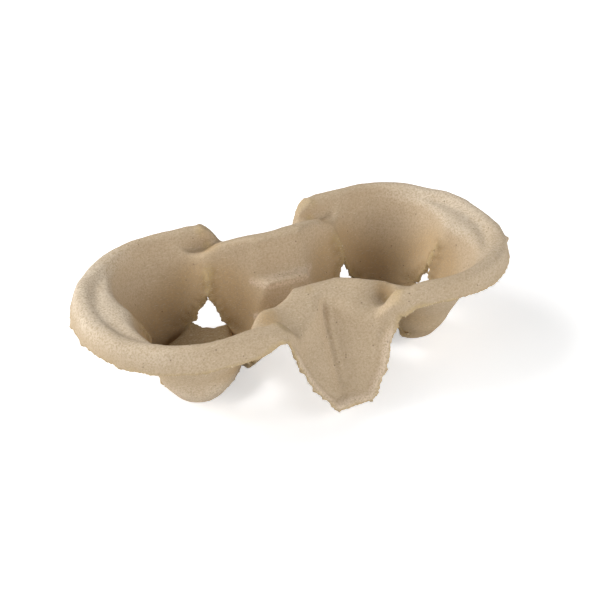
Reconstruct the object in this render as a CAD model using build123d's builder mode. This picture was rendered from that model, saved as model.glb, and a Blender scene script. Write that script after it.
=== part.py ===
"""Two-cup carrier: one sheet of moulded paper pulp.

Millimetres, +Z up. The carrier stands on its six toes at Z = 0, its length lies
along X and the origin is the middle of the base. The sheet is what lies between
two forms, its top face and the same face one wall lower down.
"""
import os
from math import acos, atan2, cos, hypot, sin, sqrt, tan

from build123d import *

# the sheet
wall = 2.2

# cells, each of three round bowls about a raised floor
cell_pitch = 97.0
bowl_ring_radius = 16.2
bowl_mouth = 29.0
ball_radius = 16.3
ball_height = 18.1
floor_height = 12.0
floor_well = 8.0
floor_to_toe = 18.6
floor_to_sill = 20.0
toe_draft = 1.6

# raised rim round both ends, measured on the line of its crown, a shelf's width
# outside the bowls' mouths
end_shelf = 14.6
side_shelf = 1.57
rim_half_length = cell_pitch / 2 + bowl_ring_radius / 2 + bowl_mouth + end_shelf
rim_half_width = bowl_ring_radius * sqrt(3) / 2 + bowl_mouth + side_shelf
end_straight = 0.8
rim_corner = rim_half_width - end_straight
rim_height = 52.6
bead_half = 3.8
bead_round = 3.5
bead_slope = 2.4
skirt_flare = 3.4
skirt_height = 41.5
rim_end = 30.2
rim_end_foot = 20.0
notch_height = 40.8

# deck inside the rim, with a groove along the foot of the rim
deck_height = 50.4
groove_height = 47.6
groove_width = 2.8

# window and slit between each two bowls
window_width = 20.0
leg_gap = 26.0
leg_gap_foot = 19.0
window_top = 26.5
slit_top = 37.3
slit_width = 1.6

# bridge between the cells
passage_floor = 19.0
passage_foot = 6.6
passage_half = 8.3
ledge_height = 34.6
ledge_back = 14.5
bridge_lip = 20.0
shoulder_start = 25.0
shoulder_fall = 0.6
crest_round = 3.0
dimple_end = 46.0
dimple_slope = 0.94

# tongue: a steep upper face, then a flared lower face, both swept back in a vee
tongue_root = 27.8
upper_lean = 0.176
upper_sweep = 0.753
lower_lean = 0.815
lower_sweep = 0.546
bend_height = 36.6
tongue_join = 28.4
tongue_knee = (23.7, 28.9)
tongue_ankle = (18.6, 18.1)
tongue_tip = (9.5, 6.6)

# how far cutting shapes reach past the carrier
margin = 4.0
below = -margin
above = rim_height + deck_height
far = rim_half_length + rim_half_width


def rim_path():
    """Crown line of a quarter of the rim, from the bridge round to the far end."""
    side_end = rim_half_length - rim_corner
    with BuildLine() as path:
        side = Line((0, rim_half_width), (side_end, rim_half_width))
        corner = RadiusArc(
            side @ 1, (rim_half_length, rim_half_width - rim_corner), rim_corner
        )
        Line(corner @ 1, (rim_half_length, 0))
    return path.wires()[0]


def end_outline(inset):
    """Plan inside the rim's crown line, drawn in by `inset`, clear of the bridge."""
    corner = rim_corner - inset
    with BuildSketch() as plan:
        RectangleRounded(2 * (rim_half_length - inset), 2 * (rim_half_width - inset), corner)
        with Locations((tongue_join, 0)):
            Rectangle(far, far, align=(Align.MIN, Align.MIN), mode=Mode.INTERSECT)
    return plan.sketch


def rim(drop):
    """Solid under the rounded rim, its face `drop` below the top face."""
    inner = -(bead_half - drop)
    outer = bead_half - drop
    top = rim_height - drop
    outer_low = outer + skirt_flare * (top - below) / (rim_height - skirt_height)
    with BuildPart() as ring:
        with BuildSketch(Plane((0, rim_half_width, 0), x_dir=(0, 1, 0), z_dir=(1, 0, 0))) as section:
            with BuildLine():
                Polyline((inner, below), (inner, top), (outer, top), (outer_low, below), close=True)
            make_face()
            if drop == 0:
                crown = section.vertices().group_by(Axis.Y)[-1].sort_by(Axis.X)
                chamfer(crown[0], bead_slope)
                fillet(crown[-1], bead_round)
        sweep(path=rim_path())
        # the rim ends at the bridge in a slanted face
        lean = (rim_end - rim_end_foot) / (rim_height - notch_height)
        with BuildSketch(Plane.XZ) as cutter:
            with BuildLine():
                Polyline(
                    (-margin, below),
                    (rim_end_foot + drop, below),
                    (rim_end_foot + drop, notch_height),
                    (rim_end_foot + drop + lean * (above - notch_height), above),
                    (-margin, above),
                    close=True,
                )
            make_face()
        extrude(amount=-far, mode=Mode.SUBTRACT)
    return ring.part


def wings(drop):
    """Solid inside the swept-back outer faces of one side of the bridge."""
    upper_shift = drop * hypot(1, upper_sweep, upper_lean)
    lower_shift = drop * hypot(1, lower_sweep, lower_lean)
    upper_base = tongue_root + upper_lean * deck_height
    lower_base = upper_base + (lower_lean - upper_lean) * bend_height
    upper_at = upper_base - upper_shift
    lower_at = lower_base - lower_shift
    bend = (lower_at - upper_at) / (lower_lean - upper_lean)
    # both faces hold this direction, so one slanted extrusion makes them
    fall = (lower_sweep - upper_sweep) / (lower_lean - upper_lean)
    run = Vector(1, upper_sweep - upper_lean * fall, fall)
    with BuildPart() as wing:
        with BuildSketch(Plane.YZ):
            with BuildLine():
                Polyline(
                    (-far, below),
                    (lower_at - lower_lean * below, below),
                    (upper_at - upper_lean * bend, bend),
                    (upper_at - upper_lean * far, far),
                    (-far, far),
                    close=True,
                )
            make_face()
        extrude(amount=2 * tongue_join, dir=run)
        Box(tongue_join, far, 4 * far, align=(Align.MIN, Align.MIN, Align.CENTER),
            mode=Mode.INTERSECT)
    return wing.part


def bridge(drop):
    """What the deck's level leaves of the bridge."""
    with BuildPart() as middle:
        add(wings(drop))
        with Locations((0, 0, deck_height - drop)):
            Box(far, far, far, align=(Align.MIN, Align.MIN, Align.MIN), mode=Mode.SUBTRACT)
    return middle.part


def rim_beside_tongue(drop):
    """Rim as far as the tongue reaches, cut back to the tongue's outer faces."""
    with BuildPart() as ring:
        add(rim(drop))
        add(wings(drop), mode=Mode.INTERSECT)
    return ring.part


def rim_beyond_tongue(drop):
    """Rim from the tongue's edge round to the far end."""
    with BuildPart() as ring:
        add(rim(drop))
        Box(tongue_join, far, 4 * far, align=(Align.MIN, Align.MIN, Align.CENTER),
            mode=Mode.SUBTRACT)
    return ring.part


def passage(drop):
    """Stepped trough that joins the two cells across the middle."""
    with BuildPart() as trough:
        with BuildSketch(Plane.YZ):
            with BuildLine():
                Polyline(
                    (0, passage_floor - drop),
                    (passage_foot + drop, passage_floor - drop),
                    (passage_half + drop, ledge_height - drop),
                    (ledge_back + drop, ledge_height - drop),
                    (bridge_lip + drop, deck_height),
                    (bridge_lip + drop, above),
                    (0, above),
                    close=True,
                )
            make_face()
        extrude(amount=cell_pitch / 2 - bowl_ring_radius)
    return trough.part


def shoulder_space(drop):
    """Space over the slope from the bridge's top to its tongue, which ends in a dimple by the rim."""
    shift = drop * hypot(1, shoulder_fall)
    reach = dimple_end + drop * hypot(1, dimple_slope)
    with BuildPart() as space:
        with BuildSketch(Plane.YZ):
            with BuildLine():
                Polyline(
                    (0, deck_height + shoulder_fall * shoulder_start - shift),
                    (far, deck_height - shoulder_fall * (far - shoulder_start) - shift),
                    (far, far),
                    (0, far),
                    close=True,
                )
            make_face()
        extrude(amount=far)
        with BuildSketch(Plane.XZ):
            with BuildLine():
                Polyline(
                    (0, deck_height - reach / dimple_slope),
                    (reach + dimple_slope * (far - deck_height), far),
                    (0, far),
                    close=True,
                )
            make_face()
        extrude(amount=-far, mode=Mode.INTERSECT)
    return space.part


def table(drop):
    """Everything under the top face but the cells, its face `drop` lower down."""
    with BuildPart() as body:
        with BuildSketch(Plane.XY.offset(below)):
            add(end_outline(0))
        extrude(amount=groove_height - drop - below)
        with BuildSketch(Plane.XY.offset(below)):
            add(end_outline(bead_half + groove_width + drop))
        extrude(amount=deck_height - drop - below)
        add(bridge(drop))
        add(shoulder_space(drop), mode=Mode.SUBTRACT)
        if drop == 0:
            near_crest = (tongue_join / 2, tongue_root + tongue_join / 2, bend_height)
            fillet(body.edges().sort_by_distance(near_crest)[0], crest_round)
        add(rim_beside_tongue(drop))
        add(rim_beyond_tongue(drop))
        add(passage(drop), mode=Mode.SUBTRACT)
    return body.part


def cell(grow):
    """The hollow of one cell, drawn `grow` larger on every side."""
    # a cone wall runs down into a ball, and the ball's end is cut flat
    rise = deck_height - ball_height
    lean = acos(ball_radius / hypot(bowl_mouth, rise)) - atan2(rise, bowl_mouth)
    ball = ball_radius + grow
    bottom = wall - grow
    sole = sqrt(ball**2 - (ball_height - bottom) ** 2)
    heel = (ball * cos(lean), ball_height - ball * sin(lean))
    top = heel[0] + (above - heel[1]) * tan(lean)
    with BuildPart() as bowl:
        with BuildSketch(Plane.XZ):
            with BuildLine():
                foot = Line((0, bottom), (sole, bottom))
                curve = RadiusArc(foot @ 1, heel, -ball, mode=Mode.PRIVATE)
                Polyline(curve @ 0, curve @ 0.5, curve @ 1)
                Polyline(heel, (top, above), (0, above), (0, bottom))
            make_face()
        revolve(axis=Axis.Z)
    middle = (cell_pitch / 2, 0)
    reach = floor_to_toe - grow
    # the floor stands above the toes
    with BuildPart() as hub:
        with BuildSketch(Plane.XY.offset(below)):
            with Locations(middle):
                RegularPolygon(reach + toe_draft, 3, major_radius=False)
        with BuildSketch(Plane.XY.offset(floor_height - grow)):
            with Locations(middle):
                RegularPolygon(reach, 3, major_radius=False)
        loft()
    with BuildPart() as hollow:
        with Locations(middle):
            with PolarLocations(bowl_ring_radius, 3, start_angle=60):
                add(bowl.part)
        add(hub.part, mode=Mode.SUBTRACT)
        with BuildSketch(Plane.XY.offset(floor_height - grow)):
            with Locations(middle):
                Circle(floor_well)
        extrude(amount=window_top - floor_height)
    return hollow.part


def floor_plate():
    """Flat floor of a cell, with a straight edge at each window and each toe."""
    with BuildPart() as plate:
        with BuildSketch(Plane.XY.offset(floor_height - wall)):
            with Locations((cell_pitch / 2, 0)):
                RegularPolygon(floor_to_toe - wall / 2, 3, major_radius=False)
                RegularPolygon(floor_to_sill, 3, major_radius=False, rotation=60, mode=Mode.INTERSECT)
            Rectangle(far, far, align=(Align.MIN, Align.MIN), mode=Mode.INTERSECT)
        extrude(amount=wall)
    return plate.part


def windows():
    """An opening that widens from a slit to the floor, between each two bowls."""
    with BuildPart() as cutter:
        with BuildSketch(Plane.YZ.offset(floor_well)):
            with BuildLine():
                Polyline(
                    (-window_width / 2, floor_height),
                    (-slit_width / 2, window_top),
                    (0, slit_top),
                    (slit_width / 2, window_top),
                    (window_width / 2, floor_height),
                    close=True,
                )
            make_face()
        extrude(amount=bowl_mouth)
        with BuildSketch(Plane.YZ.offset(floor_to_sill)):
            with BuildLine():
                Polyline(
                    (-leg_gap_foot / 2, below),
                    (-leg_gap / 2, floor_height - wall),
                    (-window_width / 2, floor_height),
                    (window_width / 2, floor_height),
                    (leg_gap / 2, floor_height - wall),
                    (leg_gap_foot / 2, below),
                    close=True,
                )
            make_face()
        extrude(amount=bowl_mouth)
    with BuildPart() as cut:
        with Locations((cell_pitch / 2, 0, 0)):
            with PolarLocations(0, 3):
                add(cutter.part)
    return cut.part


def knife():
    """What the outer edge keeps: all above the skirt, and the tongue's outline."""
    with BuildPart() as kept:
        with BuildSketch(Plane.XZ):
            with BuildLine():
                Polyline(
                    (0, tongue_tip[1]),
                    tongue_tip,
                    tongue_ankle,
                    tongue_knee,
                    (tongue_join, skirt_height),
                    (far, skirt_height),
                    (far, above),
                    (0, above),
                    close=True,
                )
            make_face()
        extrude(amount=-far)
        with BuildSketch(Plane.XY.offset(below)):
            add(end_outline(0))
        extrude(amount=above - below)
    return kept.part


with BuildPart() as form:
    add(table(0))
    add(cell(0), mode=Mode.SUBTRACT)

with BuildPart() as cup:
    add(cell(wall))
    add(form.part, mode=Mode.INTERSECT)

with BuildPart() as quarter:
    add(form.part)
    add(table(wall), mode=Mode.SUBTRACT)
    add(knife(), mode=Mode.INTERSECT)
    add(cup.part)
    add(floor_plate())
    add(windows(), mode=Mode.SUBTRACT)

with BuildPart() as cup_carrier:
    add(quarter.part)
    mirror(about=Plane.XZ)
    mirror(about=Plane.YZ)

cup_carrier.part.label = "cup_carrier"
os.makedirs("parts", exist_ok=True)
export_step(cup_carrier.part, "parts/cup_carrier.step")
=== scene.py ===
"""Looks of the two-cup carrier: one sheet of moulded paper pulp on a pale floor."""

import math

import bpy
import numpy as np
from mathutils import Matrix, Vector, noise
from mathutils.bvhtree import BVHTree


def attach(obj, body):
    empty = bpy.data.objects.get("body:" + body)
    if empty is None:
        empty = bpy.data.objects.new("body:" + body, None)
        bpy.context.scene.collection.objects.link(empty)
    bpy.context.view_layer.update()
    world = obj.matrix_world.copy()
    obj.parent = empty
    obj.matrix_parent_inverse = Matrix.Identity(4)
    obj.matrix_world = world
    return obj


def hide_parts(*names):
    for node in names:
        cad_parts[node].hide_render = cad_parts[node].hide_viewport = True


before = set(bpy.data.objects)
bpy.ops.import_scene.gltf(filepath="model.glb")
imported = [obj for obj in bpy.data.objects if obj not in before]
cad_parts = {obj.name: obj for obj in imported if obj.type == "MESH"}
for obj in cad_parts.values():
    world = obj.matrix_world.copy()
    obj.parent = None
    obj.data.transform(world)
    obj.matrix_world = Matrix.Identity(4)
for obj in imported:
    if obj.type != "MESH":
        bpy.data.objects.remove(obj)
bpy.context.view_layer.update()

NODE = "cup_carrier"

# Blender works in metres; everything about the sheet is worked out in mm, and so are
# the two limits that each ramp and eased gets for a place or a distance
MM = 0.001

# the sheet, as the part has it, in mm
CELL_MIDDLE = 48.5
SKIRT_HEIGHT = 41.5
TONGUE_HALF = 28.4
TONGUE_SWEEP = 0.546
TIP_HALF = 9.5
SILL_REACH = 20.0
WINDOW_TURNS = (0, 120, 240)

# side of the sheet's even faces, in mm
FACE_SIZE = 1.1

# how far one round of softening moves a point, and how many rounds each kind of fold gets
SOFTENING = 0.5
FRONT_JOIN_ROUNDS = 16
WHOLE_ROUNDS = 5
SHOULDER_ROUNDS = 16
RIM_END_ROUNDS = 6
LEDGE_ROUNDS = 14
RIB_ROUNDS = 34
DECK_END_ROUNDS = 34
FLOOR_ROUNDS = 36
CARRY_ROUNDS = 16

# softening starts at the first distance from the cut edge and is full from the second, in mm
EDGE_KEPT, EDGE_SOFT = 1.5, 3.5

# dimples between the bridge and the rim's ends, in mm: place, half widths, and how far they go
# down and towards the middle, with the shares of that at the back and at the front right
DIMPLE_X, DIMPLE_Y = 31.5, 35.5
DIMPLE_HALF_X, DIMPLE_HALF_Y = 6.5, 5.0
DIMPLE_DROP = 1.7
DIMPLE_PUSH = 1.2
DIMPLE_BACK = 0.4
DIMPLE_FRONT_RIGHT = 1.3

# torn pulp in the windows, in mm
WINDOW_SWELL = 2.6
WINDOW_LOW_SWELL = 2.4
WINDOW_SHIFT = 2.6
WINDOW_SHIFT_TURN = 30

# tongues, in mm: lip along the edge, dip inside it, and the groove with its ridge
LIP_HEIGHT = 1.5
DIP_DEPTH, DIP_FROM_EDGE, DIP_HALF = 0.5, 4.2, 0.9
TIP_FILL = 0.85
GROOVE_DEPTH = 1.3
GROOVE_ASIDE = 0.6
GROOVE_LEAN = 1.7
GROOVE_HALF_LEFT, GROOVE_HALF_RIGHT = 2.6, 1.1
RIDGE_HEIGHT = 0.6
RIDGE_ASIDE = 2.1
RIDGE_HALF = 1.1
LEFT_NARROWER = 1.2
RIGHT_WIDER = 0.8

# torn band along the cut edges, in mm: its width, what noise adds, and what the notches add
BAND, BAND_CHANGE, BAND_AT_NOTCH = 1.5, 1.9, 2.4
NOTCH_X, NOTCH_HALF = 34, 8

# sag of the rim's two ends, in mm
SAG_RIGHT, SAG_LEFT = 1.4, 1.3
PUSH_RIGHT, PUSH_LEFT = 1.0, -0.8
PUSH_TWIST = 1.7

# where the photographed carrier isn't even, in mm; the notch and the saddles are given as
# a middle and a half width in each direction
BACK_BRIDGE_RISE = 1.9
LEFT_BACK_RIM_DROP = 0.7
LEFT_NOTCH_RISE = 4.6
RIGHT_SKIRT_RISE = 3.0
LEFT_NOTCH = (-31.5, 6)
SADDLE_RISE = 2.4
RIGHT_SADDLE = ((24, 8), (-25, 6))
LEFT_SADDLE = ((-31, 7), (-30, 7))
RIGHT_FOOT_MOVE = (0.6, 0.4)
RIGHT_BACK_END_MOVE = 1.2

# burrs of the trimmed edge, in mm: place on the part, push, size
BURRS = (
    ((104, -20, 45), (1.9, -0.5, 0.6), 1.5),
    ((-107, 8, 41.5), (-1.0, 0.2, -1.4), 2.2),
    ((-106, 2, 41.5), (-1.2, 0.0, -1.0), 1.6),
    ((-107, -7, 41.5), (-0.9, -0.4, -1.2), 2.0),
    ((-98, -30, 41.5), (-0.6, -0.6, -1.2), 2.2),
    ((45, -45, 41.5), (0.4, -0.6, -2.0), 3.2),
)

# how far from the cut edge it is frayed, in mm
FRAY_DEPTH = 2.2

# unevenness, in mm: how far it moves the surface, the size of its dips, its seed
EDGE_NOISE = ((0.40, 1.3, 3.1), (0.62, 3.8, 7.7))
FELT_NOISE = ((0.26, 9, 0), (0.10, 2.6, 0))
FRAY_NOISE = ((0.55, 2.6, 5.5), (0.45, 1.5, 9.5))
BURR_REACH, BURR_SIZE, BURR_SEED = 3.2, 2.3, 11.3
BURR_FROM = 0.36

# loose ends of fibre, in mm
FIBRE_COUNT = 2600
FIBRE_SEED = 41
FIBRE_FROM_EDGE = 0.9
FIBRE_LENGTH = (0.5, 1.7)
FIBRE_THICKNESS = (0.07, 0.15)
FIBRE_SPREAD = 0.75
FIBRE_ROOT = 0.3
FIBRE_CURL = 0.45
FIBRE_TAPER = 0.75
FIBRE_STEPS = 3
FIBRE_SIDES = 3

# finish, as plain colours in full light
PULP = (0.56, 0.44, 0.305)
PULP_SHADE = (0.43, 0.32, 0.20)
PULP_TORN = (0.52, 0.385, 0.19)
# painted highlight: the paler tone laid on the tongues' out-turned lips
PULP_LIP_HIGHLIGHT = (0.74, 0.60, 0.46)
# painted light: the paler tone laid on the rim's ends and on the downward-facing outside of the feet
PULP_PAINTED_LIGHT = (0.76, 0.66, 0.53)
# painted shade: the darker tone laid down inside the cells and in the dimples
PULP_HOLLOW_PAINTED_SHADE = (0.50, 0.35, 0.19)
# painted shade: the darkest tone, laid on the cells' floors
PULP_FLOOR_PAINTED_SHADE = (0.32, 0.225, 0.12)
PULP_FRAYED = (0.34, 0.225, 0.10)
FIBRE_PALE = (0.78, 0.68, 0.52)
SPECK_DARK = (0.11, 0.07, 0.04)
FLOOR_WHITE = (0.87, 0.87, 0.87)
BACKDROP_LIGHT = (0.93, 0.96, 1.0)

# places with a tone laid on, in the order they are laid on: name, colour, share; painted shade in the
# hollows and on the cell floors, painted light on the rim's ends, the feet and the lips
TONED_PLACES = (
    ("painted_hollow_shade", PULP_HOLLOW_PAINTED_SHADE, 0.9),
    ("cell_floor", PULP_FLOOR_PAINTED_SHADE, 0.9),
    ("frayed", PULP_FRAYED, 0.85),
    ("painted_light", PULP_PAINTED_LIGHT, 0.72),
    ("lip", PULP_LIP_HIGHLIGHT, 0.8),
)

TORN_SHARE = 0.8
# how far the painted light on the rim falls off towards the front, and the share of it on the right-hand
# feet
PAINTED_LIGHT_FRONT = 0.5
PAINTED_LIGHT_RIGHT_FEET = 0.3

# how clouds and grain bring in the shade: noise where it starts and is full, and its share
CLOUD_SHADE = (0.35, 0.75, 0.35)
GRAIN_SHADE = (0.42, 0.64, 0.75)

# felted pulp: sizes in mm, shares as parts of 1
GRAIN_SIZE = 0.9
CLOUD_SIZE = 16.0
STRAND_LENGTH, STRAND_WIDTH = 2.6, 0.34
STRAND_TURNS = ((0.3, 0.5, 0.4), (1.1, -0.4, 1.5), (-0.7, 1.0, 2.6))
STRAND_FROM, STRAND_CONTRAST = 0.71, 8
SPECK_SPACING = 5.5
SPECK_REACH, SPECK_CONTRAST = 0.085, 30
FIBRE_AMOUNT = 0.35
SPECK_AMOUNT = 0.5
GRAIN_HEIGHT, STRAND_HEIGHT = 0.8, 0.5
BUMP_HEIGHT = 0.25
BUMP_STRENGTH = 0.8
PULP_ROUGHNESS, PULP_SHINE = 0.92, 0.25

# floor, in metres
FLOOR_HALF = 4.0
FLOOR_LOW = 0.3 * MM
FLOOR_LIFT = 0.5
FLOOR_ROUGHNESS, FLOOR_SHINE = 0.9, 0.1

# low soft lamps round the carrier, in metres: name, direction and rise in degrees, watts
LAMP_REACH = 1.8
LAMP_SIZE = 1.15
LAMP_AIM = (0, 0, 0.02)
LAMPS = (
    ("left_lamp", 180, 30, 11.5),
    ("front_left_lamp", 225, 22, 10.5),
    ("front_right_lamp", 315, 22, 21.5),
    ("back_left_lamp", 135, 40, 27.5),
)
BACKDROP_STRENGTH = 0.02

# camera, in degrees, metres and mm of lens; its shifts are in pixels of the image
IMAGE_WIDTH = 600
CAMERA_TURN, CAMERA_RISE, CAMERA_ROLL = 26.63, 35.28, 0.87
CAMERA_DISTANCE = 0.6084
CAMERA_AIM = (0, 0, 0.0258)
CAMERA_LENS = 76.33
CAMERA_SENSOR = 36
CAMERA_SHIFT = (4.6, 2.3)
CAMERA_NEAR = 0.01


def ramp(values, low, high):
    """0 at low, 1 at high, even between; low may be the larger."""
    return np.clip((values - low) / (high - low), 0, 1)


def eased(values, low, high):
    """0 at low, 1 at high, with a soft start and end; low may be the larger."""
    even = ramp(values, low, high)
    return even * even * (3 - 2 * even)


def bell(*ways):
    """1 in the middle, falling to 0 around it; each way is a distance and a width."""
    return np.exp(-sum((away / width) ** 2 for away, width in ways))


def swelling(places, middles):
    """A bell round the given middles, one a direction, each with its half width."""
    return bell(*((place - middle, half) for place, (middle, half) in zip(places, middles)))


def points_of(mesh):
    """Vertex places of a mesh, in mm."""
    flat = np.zeros(len(mesh.vertices) * 3)
    mesh.vertices.foreach_get("co", flat)
    return flat.reshape(-1, 3) / MM


def move_points(mesh, points):
    """Writes vertex places back, from mm."""
    mesh.vertices.foreach_set("co", (points * MM).ravel())
    mesh.update()


def normals_of(mesh):
    """Vertex normals of a mesh."""
    return np.array([v.normal for v in mesh.vertices])


def links_of(mesh):
    """Vertex pairs of a mesh's edges."""
    pairs = np.zeros(len(mesh.edges) * 2, dtype=np.int64)
    mesh.edges.foreach_get("vertices", pairs)
    return pairs.reshape(-1, 2)


def mean_beside(values, links):
    """Mean of each point's neighbours."""
    first, second = links.T
    size = len(values)
    count = np.bincount(first, minlength=size) + np.bincount(second, minlength=size)
    sums = [
        np.bincount(first, values[second, k], size) + np.bincount(second, values[first, k], size)
        for k in range(values.shape[1])
    ]
    return np.column_stack(sums) / count[:, None]


def soft_folds(points, links, weights, rounds, edge):
    """Rounds the folds where weights is above 0; the cut edge follows what lies next to it."""
    inside = (weights * ramp(edge, EDGE_KEPT, EDGE_SOFT))[:, None]
    moved = points.copy()
    for _ in range(rounds):
        moved += SOFTENING * inside * (mean_beside(moved, links) - moved)
    shift = moved - points
    carried = edge < EDGE_SOFT
    for _ in range(CARRY_ROUNDS):
        shift[carried] = mean_beside(shift, links)[carried]
    return points + shift


def noise_at(points, size, seed):
    """Smooth noise, about -1 to 1, with dips and swellings of the given size."""
    offset = Vector((seed, 2 * seed, -seed))
    return np.array([noise.noise(Vector(p) / size + offset) for p in points])


def unevenness(points, kinds):
    """Sum of several sizes of noise, in mm."""
    return sum(reach * noise_at(points, size, seed) for reach, size, seed in kinds)


def along_window(x, y, turn):
    """How far out from the cell's middle a place is towards a window, and how far aside of it."""
    turn = math.radians(turn)
    x = x - CELL_MIDDLE
    return x * math.cos(turn) + y * math.sin(turn), np.abs(y * math.cos(turn) - x * math.sin(turn))


def window_face(normal, centre):
    """Whether a face of the solid is the cut edge of a window or the sill under it."""
    side = math.copysign(1, centre.x)
    for turn in WINDOW_TURNS:
        depth, aside = along_window(abs(centre.x), centre.y, turn)
        turn = math.radians(turn)
        outward = normal.x * side * math.cos(turn) + normal.y * math.sin(turn)
        jamb = abs(outward) < 0.02 and abs(normal.z) < 0.95 and depth > 15 and aside < 14
        sill = outward > 0.98 and abs(depth - SILL_REACH) < 0.3
        if (jamb or sill) and centre.z < 38:
            return True
    return False


def jamb_face(normal, centre):
    """Whether a face of the solid is the upright cut edge of a window."""
    at_sill = abs(math.hypot(abs(centre.x) - CELL_MIDDLE, centre.y) - SILL_REACH) < 0.3
    return window_face(normal, centre) and not at_sill and centre.z > 6.5


def tongue_face(normal, centre):
    """Whether a face of the solid is the cut edge of a tongue."""
    outward = normal.x * centre.x > -0.001
    return abs(normal.y) < 0.02 and normal.z < -0.2 and outward and abs(centre.x) < TONGUE_HALF


def skirt_face(normal, centre):
    """Whether a face of the solid is the cut edge of the rim's skirt."""
    return normal.z < -0.99 and abs(centre.z - SKIRT_HEIGHT) < 0.1


def cut_edge(solid, *kinds):
    """Faces of the solid where the sheet ends, to measure from."""
    faces = [
        tuple(face.vertices) for face in solid.polygons
        if any(kind(face.normal, face.center / MM) for kind in kinds)
    ]
    return BVHTree.FromPolygons([Vector(p) for p in points_of(solid)], faces)


def measured(points, tree):
    """Distance to the cut edge, and the direction out of it, for each point."""
    found = [tree.find_nearest(Vector(p)) for p in points]
    return np.array([f[3] for f in found]), np.array([f[1] for f in found])


def sheet_copy():
    """The carrier's solid with even small faces, to be worked into felted pulp."""
    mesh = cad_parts[NODE].data.copy()
    mesh.materials.clear()
    piece = bpy.data.objects.new("pulp_sheet", mesh)
    bpy.context.scene.collection.objects.link(piece)
    grid = piece.modifiers.new("even_faces", "REMESH")
    grid.mode = "VOXEL"
    grid.voxel_size = FACE_SIZE * MM
    grid.use_smooth_shade = True
    graph = bpy.context.evaluated_depsgraph_get()
    even = bpy.data.meshes.new_from_object(piece.evaluated_get(graph))
    piece.modifiers.clear()
    piece.data = even
    bpy.data.meshes.remove(mesh)
    return piece


def fold_zones(points):
    """Where the moulded sheet's folds are softer, and by how many rounds."""
    across, z = points[:, 1], points[:, 2]
    x, y = np.abs(points[:, 0]), np.abs(across)
    whole = np.ones(len(points))
    shoulder = ramp(z, 27, 34) * ramp(x, 26, 20) * ramp(y, 20, 25)
    rim_end = ramp(z, 36, 40) * ramp(x, 52, 44) * ramp(y, 34, 38)
    front_join = rim_end * ramp(-across, 30, 36) * ramp(x, 40, 34)
    ledge = ramp(x, 22, 18) * ramp(y, 24, 20) * ramp(z, 16, 20)
    ribs = np.zeros(len(points))
    for turn in WINDOW_TURNS:
        depth, aside = along_window(x, across, turn)
        ribs = np.maximum(ribs, ramp(depth, 4, 10) * ramp(aside, 13, 8) * ramp(z, 27, 35))
    deck_end = ramp(x, 64, 76) * ramp(x, 97, 93) * ramp(y, 42, 30) * ramp(z, 40, 43)
    from_middle = np.hypot(x - CELL_MIDDLE, across)
    cell_floor = ramp(from_middle, 27, 23) * ramp(z, 9, 11) * ramp(z, 22, 17)
    return (
        (front_join, FRONT_JOIN_ROUNDS),
        (whole, WHOLE_ROUNDS),
        (shoulder, SHOULDER_ROUNDS),
        (rim_end, RIM_END_ROUNDS),
        (ledge, LEDGE_ROUNDS),
        (ribs, RIB_ROUNDS),
        (deck_end, DECK_END_ROUNDS),
        (cell_floor, FLOOR_ROUNDS),
    )


def narrow_windows(points, solid):
    """Torn pulp that stands into each window from its upright sides."""
    beside, into = measured(points, cut_edge(solid, jamb_face))
    x, y, z = points.T
    away_from_tongue = np.where((y > 0) | (np.abs(x) > 62), 1, 0)
    low = np.maximum(away_from_tongue * ramp(z, 5, 8), ramp(z, 12, 16))
    swell = ramp(beside, 4.5, 0) * ramp(z, 29, 22) * low
    swell *= WINDOW_SWELL + WINDOW_LOW_SWELL * away_from_tongue * ramp(z, 17, 12)
    points += swell[:, None] * into * (1, 1, 0)
    # the right cell's back left window sits a little further round
    near = ramp(beside, 7, 1) * ramp(x, 12, 20) * ramp(x, 50, 46) * ramp(y, 8, 12) * ramp(z, 9, 12)
    turn = math.radians(WINDOW_SHIFT_TURN)
    points += (WINDOW_SHIFT * near)[:, None] * (math.cos(turn), math.sin(turn), 0)
    return points


def dimples(points):
    """Presses in the dimples between the bridge and the rim's ends."""
    x, y, z = points.T
    front = np.where(x > 0, DIMPLE_FRONT_RIGHT, 0)
    beside_x = np.abs(x) - DIMPLE_X
    beside_y = np.abs(y) - DIMPLE_Y
    press = bell((beside_x, DIMPLE_HALF_X), (beside_y, DIMPLE_HALF_Y)) * ramp(z, 36, 42)
    press *= np.where(y > 0, DIMPLE_BACK, front)
    side = np.sign(y)
    points[:, 2] -= DIMPLE_DROP * press
    points[:, 1] -= side * DIMPLE_PUSH * press
    return points


def tongue_lips(points, edge):
    """Raises a lip along the tongues' edges, fills their tips and cuts the groove down their middle."""
    x, y, z = points.T.copy()
    out = np.abs(x)
    tongue = ramp(out, 31, 28) * ramp(np.abs(y), 30, 33) * ramp(z, 41, 34)
    lip = LIP_HEIGHT * ramp(edge, 3.3, 2.3) - DIP_DEPTH * bell((edge - DIP_FROM_EDGE, DIP_HALF))
    fill = TIP_FILL * TONGUE_SWEEP * np.maximum(TIP_HALF - out, 0) * eased(z, 16, 7)
    beside = x + GROOVE_LEAN * ramp(z, 40, 9) + GROOVE_ASIDE
    half = np.where(beside < 0, GROOVE_HALF_LEFT, GROOVE_HALF_RIGHT)
    groove = GROOVE_DEPTH * bell((beside, half)) - RIDGE_HEIGHT * bell((beside - RIDGE_ASIDE, RIDGE_HALF))
    groove *= ramp(z, 9, 14) * ramp(z, 49, 42) * ramp(np.abs(y), 26, 30)
    narrower = np.where((x < 0) & (y < 0), LEFT_NARROWER, -RIGHT_WIDER)
    points[:, 1] += np.sign(y) * (tongue * (lip + fill) - groove)
    points[:, 0] -= np.sign(x) * narrower * tongue * ramp(edge, 9, 0)
    return points


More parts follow.
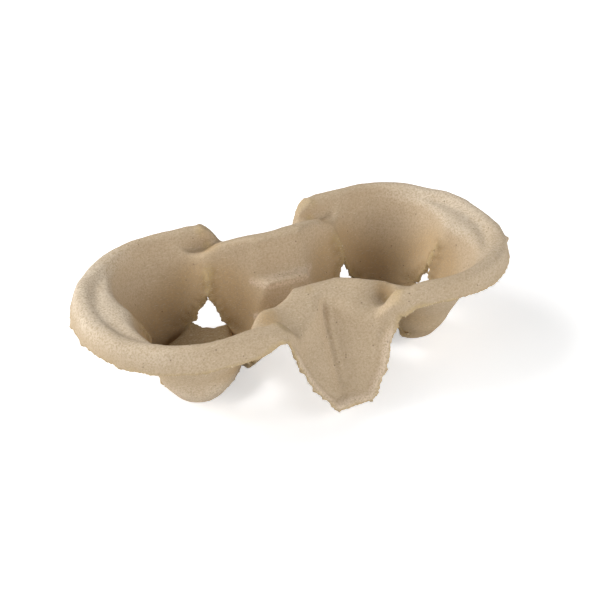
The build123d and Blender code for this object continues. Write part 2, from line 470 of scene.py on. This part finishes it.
def rim_sags(points):
    """Lets each end of the rim hang a little, as thin pulp does."""
    x, y, z = points.T.copy()
    reach = eased(np.abs(x), 40, 104) * eased(z, 12, 40)
    points[:, 2] -= np.where(x > 0, SAG_RIGHT, SAG_LEFT) * reach
    points[:, 0] += np.where(x > 0, PUSH_RIGHT - PUSH_TWIST * np.clip(y / 30, -1, 1), PUSH_LEFT) * reach
    return points


def uneven_sides(points):
    """Small ways in which the photographed carrier's sides and feet differ from each other."""
    x, y, z = points.T.copy()
    back_bridge = eased(y, 14, 24) * eased(np.abs(x), 33, 25) * eased(z, 38, 46)
    left_back_rim = eased(y, 20, 40) * eased(-x, 24, 40) * eased(z, 30, 46)
    right_back_end = eased(y, 30, 42) * eased(x, 18, 26) * eased(x, 60, 34)
    right_foot = eased(x, 30, 38) * eased(x, 72, 60) * eased(-y, 8, 18) * eased(z, 34, 14)
    right_skirt = eased(x, 28, 36) * (1 - 0.75 * eased(x, 36, 84)) * eased(-y, 26, 34)
    right_skirt *= eased(z, 50, 41) * eased(z, 36, 39)
    left_notch = swelling((x,), (LEFT_NOTCH,)) * eased(-y, 34, 40) * eased(z, 52, 41) * eased(z, 30, 38)
    saddles = swelling((x, y), RIGHT_SADDLE) + swelling((x, y), LEFT_SADDLE)
    points[:, 2] += BACK_BRIDGE_RISE * back_bridge - LEFT_BACK_RIM_DROP * left_back_rim
    points[:, 2] += LEFT_NOTCH_RISE * left_notch + RIGHT_SKIRT_RISE * right_skirt
    points[:, 2] += SADDLE_RISE * saddles * eased(z, 38, 44)
    points[:, 0] += RIGHT_FOOT_MOVE[0] * right_foot - RIGHT_BACK_END_MOVE * right_back_end
    points[:, 1] += RIGHT_FOOT_MOVE[1] * right_foot
    return points


def burrs(points):
    """The few long burrs and flakes that the trimmed edge kept."""
    for place, push, size in BURRS:
        near = bell(*((away, size) for away in (points - place).T))
        points += np.outer(near, push)
    return points


def torn(points, edge, out):
    """Frays the cut edges."""
    near = np.nonzero(edge < FRAY_DEPTH)[0]
    some = points[near]
    close = ramp(edge[near], 1.9, 0.3)
    burr = BURR_REACH * np.maximum(noise_at(some, BURR_SIZE, BURR_SEED) - BURR_FROM, 0)
    points[near] += (close * (unevenness(some, EDGE_NOISE) + burr))[:, None] * out[near]
    return points


def felted(points, normals, frayed):
    """Slow unevenness of the felted pulp, ragged where it is frayed."""
    lift = unevenness(points, FELT_NOISE)
    ragged = np.nonzero(frayed > 0)[0]
    lift[ragged] += frayed[ragged] * unevenness(points[ragged], FRAY_NOISE)
    return points + normals * lift[:, None]


def torn_places(points, edge):
    """The torn band along the cut edges, wider at the notches beside the tongues."""
    band = BAND + BAND_CHANGE * np.clip(noise_at(points, 6, 33.3), 0, 1)
    beside_notch = np.abs(points[:, 0]) - NOTCH_X
    band += BAND_AT_NOTCH * bell((beside_notch, NOTCH_HALF)) * ramp(points[:, 2], 32, 37)
    return ramp(edge / band, 1, 0.2)


def frayed_places(points, beside):
    """The ragged pulp round the windows."""
    patchy = np.clip(0.75 + 1.5 * noise_at(points, 2.4, 15.1), 0, 1)
    return ramp(beside, 5.5, 2.0) * ramp(points[:, 2], 8, 12) * patchy


def lip_highlight_places(points, edge):
    """Painted highlight: the lip along the tongues' edges, made paler."""
    return ramp(edge, 3.2, 2.4) * ramp(points[:, 2], 38, 32)


def floor_painted_shade_places(points):
    """Painted shade on the floors of the two cells, the darkest tone laid on."""
    from_middle = np.hypot(np.abs(points[:, 0]) - CELL_MIDDLE, points[:, 1])
    z = points[:, 2]
    return eased(z, 19, 13) * eased(from_middle, 31, 24) * eased(z, 9.5, 10.5)


def painted_light_places(points, normals):
    """Painted light: paler on the rim's ends and on the outside of the feet where it faces down, most on the
    left.
    """
    x, y, z = points.T
    out = np.abs(x)
    rim = eased(out, 58, 92) * eased(z, 43, 48) * (1 - PAINTED_LIGHT_FRONT * eased(-y, 0, 25))
    feet = eased(z, 26, 13) * ramp(-normals[:, 2], -0.05, 0.25) * eased(np.abs(y), 44, 38)
    feet *= np.where(x > 0, PAINTED_LIGHT_RIGHT_FEET, 1)
    patchy = 0.85 + 0.3 * noise_at(points, 7, 21.7)
    return np.clip(np.maximum(rim, feet) * patchy, 0, 1)


def hollow_painted_shade_places(points):
    """Painted shade: darker down inside the two cells, and in the dimples."""
    x, y, z = np.abs(points[:, 0]), np.abs(points[:, 1]), points[:, 2]
    cells = eased(z, 48, 34) * eased(np.hypot(x - CELL_MIDDLE, y), 40, 32)
    dimple = 0.95 * eased(np.hypot(x - 29.5, y - 33), 7.5, 1.5) * ramp(z, 41, 42)
    return np.maximum(cells, dimple)


def keep_value(mesh, name, values):
    """Stores one number for each vertex, for the material to read."""
    made = mesh.attributes.new(name, "FLOAT", "POINT")
    made.data.foreach_set("value", np.asarray(values, dtype=np.float32))


def pulp_sheet():
    """The whole carrier as one felted sheet, with its distance to the cut edge and the way out of it."""
    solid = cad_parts[NODE].data
    piece = sheet_copy()
    mesh = piece.data
    links = links_of(mesh)
    points = points_of(mesh)
    edge, out = measured(points, cut_edge(solid, window_face, tongue_face, skirt_face))
    beside_tongue, _ = measured(points, cut_edge(solid, tongue_face))
    beside_window, _ = measured(points, cut_edge(solid, jamb_face))
    for weights, rounds in fold_zones(points):
        points = soft_folds(points, links, weights, rounds, edge)
    # where the lip's painted highlight goes
    lip = lip_highlight_places(points, beside_tongue)
    points = dimples(narrow_windows(points, solid))
    points += SOFTENING * (mean_beside(points, links) - points)
    points = tongue_lips(points, beside_tongue)
    points = burrs(uneven_sides(rim_sags(points)))
    frayed = frayed_places(points, beside_window)
    points = torn(points, edge, out)
    move_points(mesh, points)
    normals = normals_of(mesh)
    move_points(mesh, felted(points, normals, frayed))
    keep_value(mesh, "torn_edge", torn_places(points, edge))
    # painted highlight on the tongues' lips
    keep_value(mesh, "lip", lip)
    # painted light on the rim's ends and the feet
    keep_value(mesh, "painted_light", painted_light_places(points, normals))
    # painted shade down inside the cells and in the dimples
    keep_value(mesh, "painted_hollow_shade", hollow_painted_shade_places(points))
    # painted shade on the cells' floors
    keep_value(mesh, "cell_floor", floor_painted_shade_places(points))
    keep_value(mesh, "frayed", frayed)
    return piece, edge, out


def strand(start, along, aside, length, thick):
    """A tapering curled strand, as places and faces."""
    across = np.cross(along, aside)
    places = []
    for step in range(FIBRE_STEPS + 1):
        way = step / FIBRE_STEPS
        middle = start + along * length * way + aside * length * FIBRE_CURL * way * way
        width = thick * (1 - FIBRE_TAPER * way)
        for side in range(FIBRE_SIDES):
            turn = 2 * math.pi * side / FIBRE_SIDES
            places.append(middle + width * (math.cos(turn) * aside + math.sin(turn) * across))
    faces = []
    for step in range(FIBRE_STEPS):
        for side in range(FIBRE_SIDES):
            low = FIBRE_SIDES * step + side
            beside = FIBRE_SIDES * step + (side + 1) % FIBRE_SIDES
            faces.append((low, beside, beside + FIBRE_SIDES, low + FIBRE_SIDES))
    root = range(FIBRE_SIDES)
    faces.append(tuple(reversed(root)))
    faces.append(tuple(FIBRE_SIDES * FIBRE_STEPS + side for side in root))
    return places, faces


def edge_fibres(sheet, edge, out):
    """Loose ends of fibre that stand out of the torn edges."""
    rng = np.random.default_rng(FIBRE_SEED)
    points = points_of(sheet.data)
    near = np.nonzero(edge < FIBRE_FROM_EDGE)[0]
    places, faces = [], []
    for vertex in rng.choice(near, FIBRE_COUNT):
        along = out[vertex] + rng.normal(0, FIBRE_SPREAD, 3)
        along /= np.linalg.norm(along)
        aside = np.cross(along, rng.normal(0, 1, 3))
        aside /= np.linalg.norm(aside)
        length = rng.uniform(*FIBRE_LENGTH)
        start = points[vertex] - along * FIBRE_ROOT
        more, sides = strand(start, along, aside, length, rng.uniform(*FIBRE_THICKNESS))
        faces += [tuple(i + len(places) for i in side) for side in sides]
        places += more
    mesh = bpy.data.meshes.new("edge_fibres")
    mesh.from_pydata([tuple(p * MM) for p in places], [], faces)
    piece = bpy.data.objects.new("edge_fibres", mesh)
    bpy.context.scene.collection.objects.link(piece)
    return piece


def new_node(tree, kind, **values):
    """A shader node with its own settings."""
    made = tree.nodes.new(kind)
    for name, value in values.items():
        setattr(made, name, value)
    return made


def feed(tree, socket, value):
    """Sets a socket to a number or a colour, or links it to another node's output."""
    if isinstance(value, bpy.types.NodeSocket):
        tree.links.new(value, socket)
    else:
        socket.default_value = value


def felt_group():
    """Felted pulp: fine grain, cloudy tone, pale fibres and dark specks."""
    tree = bpy.data.node_groups.new("felted_pulp", "ShaderNodeTree")
    amounts = (
        ("Grain size", GRAIN_SIZE),
        ("Cloud size", CLOUD_SIZE),
        ("Fibre amount", FIBRE_AMOUNT),
        ("Speck amount", SPECK_AMOUNT),
    )
    for name, value in amounts:
        socket = tree.interface.new_socket(name, in_out="INPUT", socket_type="NodeSocketFloat")
        socket.default_value = value
    start = tree.nodes.new("NodeGroupInput")
    place = tree.nodes.new("ShaderNodeTexCoord").outputs["Object"]

    def math_node(kind, a, b, clamp=False):
        made = new_node(tree, "ShaderNodeMath", operation=kind, use_clamp=clamp)
        feed(tree, made.inputs[0], a)
        feed(tree, made.inputs[1], b)
        return made.outputs[0]

    def scaled(factor):
        made = new_node(tree, "ShaderNodeVectorMath", operation="SCALE")
        feed(tree, made.inputs[0], place)
        feed(tree, made.inputs["Scale"], factor)
        return made.outputs[0]

    def clouds(vector, detail, rough):
        made = tree.nodes.new("ShaderNodeTexNoise")
        feed(tree, made.inputs["Scale"], 1)
        feed(tree, made.inputs["Detail"], detail)
        feed(tree, made.inputs["Roughness"], rough)
        feed(tree, made.inputs["Vector"], vector)
        return made.outputs["Fac"]

    def strands(turn):
        made = tree.nodes.new("ShaderNodeMapping")
        thin = 1 / (STRAND_WIDTH * MM)
        feed(tree, made.inputs["Rotation"], turn)
        feed(tree, made.inputs["Scale"], (1 / (STRAND_LENGTH * MM), thin, thin))
        feed(tree, made.inputs["Vector"], place)
        above = math_node("SUBTRACT", clouds(made.outputs[0], 0, 0.6), STRAND_FROM)
        return math_node("MULTIPLY", above, STRAND_CONTRAST, clamp=True)

    grain = clouds(scaled(math_node("DIVIDE", 1 / MM, start.outputs["Grain size"])), 2.5, 0.65)
    cloudy = clouds(scaled(math_node("DIVIDE", 1 / MM, start.outputs["Cloud size"])), 4, 0.62)
    fibres = strands(STRAND_TURNS[0])
    for turn in STRAND_TURNS[1:]:
        fibres = math_node("MAXIMUM", fibres, strands(turn))
    fibres = math_node("MULTIPLY", fibres, start.outputs["Fibre amount"], clamp=True)
    spots = tree.nodes.new("ShaderNodeTexVoronoi")
    feed(tree, spots.inputs["Scale"], 1)
    feed(tree, spots.inputs["Randomness"], 1)
    feed(tree, spots.inputs["Vector"], scaled(1 / (SPECK_SPACING * MM)))
    near = math_node("SUBTRACT", SPECK_REACH, spots.outputs["Distance"])
    near = math_node("MULTIPLY", near, SPECK_CONTRAST, clamp=True)
    specks = math_node("MULTIPLY", near, start.outputs["Speck amount"], clamp=True)
    grain_height = math_node("MULTIPLY", grain, GRAIN_HEIGHT)
    height = math_node("ADD", grain_height, math_node("MULTIPLY", fibres, STRAND_HEIGHT))
    results = {"Grain": grain, "Clouds": cloudy, "Fibres": fibres, "Specks": specks, "Height": height}
    for name in results:
        tree.interface.new_socket(name, in_out="OUTPUT", socket_type="NodeSocketFloat")
    end = tree.nodes.new("NodeGroupOutput")
    for name, value in results.items():
        feed(tree, end.inputs[name], value)
    return tree


def pulp_material(felt, name, pulp, shade, fibres, specks):
    """Matt unbleached pulp, with its own tone where it is torn and frayed, painted light on the rim's ends,
    feet and lips, and painted shade where it is deep.
    """
    made = bpy.data.materials.new(name)
    made.use_nodes = True
    tree = made.node_tree
    shader = tree.nodes["Principled BSDF"]
    feed(tree, shader.inputs["Roughness"], PULP_ROUGHNESS)
    feed(tree, shader.inputs["Specular IOR Level"], PULP_SHINE)
    grain = new_node(tree, "ShaderNodeGroup", node_tree=felt)
    feed(tree, grain.inputs["Fibre amount"], fibres)
    feed(tree, grain.inputs["Speck amount"], specks)

    def mixed(a, b, amount):
        node = new_node(tree, "ShaderNodeMix", data_type="RGBA")
        colours = [s for s in node.inputs if s.type == "RGBA"]
        for socket, value in zip(colours, (a, b)):
            feed(tree, socket, (*value, 1) if isinstance(value, tuple) else value)
        feed(tree, node.inputs[0], amount)
        return [s for s in node.outputs if s.type == "RGBA"][0]

    def share_of(value, low, high, share):
        node = tree.nodes.new("ShaderNodeMapRange")
        for socket_name, number in (("From Min", low), ("From Max", high), ("To Min", 0), ("To Max", share)):
            feed(tree, node.inputs[socket_name], number)
        feed(tree, node.inputs["Value"], value)
        return node.outputs[0]

    def place_share(place_name, share):
        place = new_node(tree, "ShaderNodeAttribute", attribute_name=place_name)
        return share_of(place.outputs["Fac"], 0, 1, share)

    tone = mixed(pulp, shade, share_of(grain.outputs["Clouds"], *CLOUD_SHADE))
    # the frayed tone, and the painted shade and painted light, laid on place by place
    for place_name, colour, share in TONED_PLACES:
        tone = mixed(tone, colour, place_share(place_name, share))
    tone = mixed(tone, PULP_TORN, place_share("torn_edge", TORN_SHARE))
    tone = mixed(tone, shade, share_of(grain.outputs["Grain"], *GRAIN_SHADE))
    tone = mixed(tone, FIBRE_PALE, grain.outputs["Fibres"])
    tone = mixed(tone, SPECK_DARK, grain.outputs["Specks"])
    feed(tree, shader.inputs["Base Color"], tone)
    bump = tree.nodes.new("ShaderNodeBump")
    feed(tree, bump.inputs["Strength"], BUMP_STRENGTH)
    feed(tree, bump.inputs["Distance"], BUMP_HEIGHT * MM)
    feed(tree, bump.inputs["Height"], grain.outputs["Height"])
    feed(tree, shader.inputs["Normal"], bump.outputs[0])
    return made


def floor_material():
    """Pale and matt, and a little brighter to the camera than its light makes it."""
    made = bpy.data.materials.new("pale_floor")
    made.use_nodes = True
    tree = made.node_tree
    shader = tree.nodes["Principled BSDF"]
    feed(tree, shader.inputs["Base Color"], (*FLOOR_WHITE, 1))
    feed(tree, shader.inputs["Roughness"], FLOOR_ROUGHNESS)
    feed(tree, shader.inputs["Specular IOR Level"], FLOOR_SHINE)
    path = tree.nodes.new("ShaderNodeLightPath")
    lift = new_node(tree, "ShaderNodeMath", operation="MULTIPLY")
    feed(tree, lift.inputs[0], path.outputs["Is Camera Ray"])
    feed(tree, lift.inputs[1], FLOOR_LIFT)
    glow = tree.nodes.new("ShaderNodeEmission")
    feed(tree, glow.inputs["Strength"], lift.outputs[0])
    both = tree.nodes.new("ShaderNodeAddShader")
    feed(tree, both.inputs[0], shader.outputs[0])
    feed(tree, both.inputs[1], glow.outputs[0])
    feed(tree, tree.nodes["Material Output"].inputs["Surface"], both.outputs[0])
    return made


def floor():
    """Pale floor that takes the carrier's shadow and is white to the camera."""
    corners = [(x * FLOOR_HALF, y * FLOOR_HALF, 0) for x, y in ((-1, -1), (1, -1), (1, 1), (-1, 1))]
    mesh = bpy.data.meshes.new("floor")
    mesh.from_pydata(corners, [], [(0, 1, 2, 3)])
    mesh.materials.append(floor_material())
    plane = bpy.data.objects.new("floor", mesh)
    bpy.context.scene.collection.objects.link(plane)
    plane.location.z = -FLOOR_LOW


def backdrop():
    """Faint even light from all round, seen as white behind the floor."""
    world = bpy.data.worlds.new("studio")
    bpy.context.scene.world = world
    world.use_nodes = True
    tree = world.node_tree
    light = tree.nodes["Background"]
    feed(tree, light.inputs["Color"], (*BACKDROP_LIGHT, 1))
    feed(tree, light.inputs["Strength"], BACKDROP_STRENGTH)
    seen = tree.nodes.new("ShaderNodeBackground")
    feed(tree, seen.inputs["Color"], (1, 1, 1, 1))
    path = tree.nodes.new("ShaderNodeLightPath")
    mix = tree.nodes.new("ShaderNodeMixShader")
    feed(tree, mix.inputs[0], path.outputs["Is Camera Ray"])
    feed(tree, mix.inputs[1], light.outputs[0])
    feed(tree, mix.inputs[2], seen.outputs[0])
    feed(tree, tree.nodes["World Output"].inputs["Surface"], mix.outputs[0])


def lamp(name, turn, rise, power):
    """A soft square lamp turned to the carrier."""
    turn, rise = math.radians(turn), math.radians(rise)
    level = LAMP_REACH * math.cos(rise)
    place = Vector((level * math.cos(turn), level * math.sin(turn), LAMP_REACH * math.sin(rise)))
    data = bpy.data.lights.new(name, "AREA")
    data.size = LAMP_SIZE
    data.energy = power
    made = bpy.data.objects.new(name, data)
    bpy.context.scene.collection.objects.link(made)
    made.location = place
    made.rotation_euler = (Vector(LAMP_AIM) - place).to_track_quat("-Z", "Y").to_euler()


def camera():
    """Looks down on the carrier from its front left."""
    turn, rise, roll = (math.radians(angle) for angle in (CAMERA_TURN, CAMERA_RISE, CAMERA_ROLL))
    data = bpy.data.cameras.new("camera")
    data.sensor_width = CAMERA_SENSOR
    data.lens = CAMERA_LENS
    data.shift_x, data.shift_y = (shift / IMAGE_WIDTH for shift in CAMERA_SHIFT)
    data.clip_start = CAMERA_NEAR
    made = bpy.data.objects.new("camera", data)
    bpy.context.scene.collection.objects.link(made)
    look = Vector((math.sin(turn) * math.cos(rise), math.cos(turn) * math.cos(rise), -math.sin(rise)))
    place = Matrix.Translation(Vector(CAMERA_AIM) - look * CAMERA_DISTANCE)
    facing = look.to_track_quat("-Z", "Y").to_matrix().to_4x4()
    made.matrix_world = place @ facing @ Matrix.Rotation(roll, 4, "Z")
    bpy.context.scene.camera = made


camera()
floor()
backdrop()
for lamp_values in LAMPS:
    lamp(*lamp_values)

felt = felt_group()
sheet, edge, out = pulp_sheet()
sheet.data.materials.append(
    pulp_material(felt, "moulded_pulp", PULP, PULP_SHADE, FIBRE_AMOUNT, SPECK_AMOUNT)
)
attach(sheet, "root")
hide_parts(NODE)

fibres = edge_fibres(sheet, edge, out)
fibres.data.materials.append(pulp_material(felt, "torn_fibre", FIBRE_PALE, PULP_TORN, 0, 0))
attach(fibres, "root")

bpy.context.scene.view_settings.view_transform = "Standard"
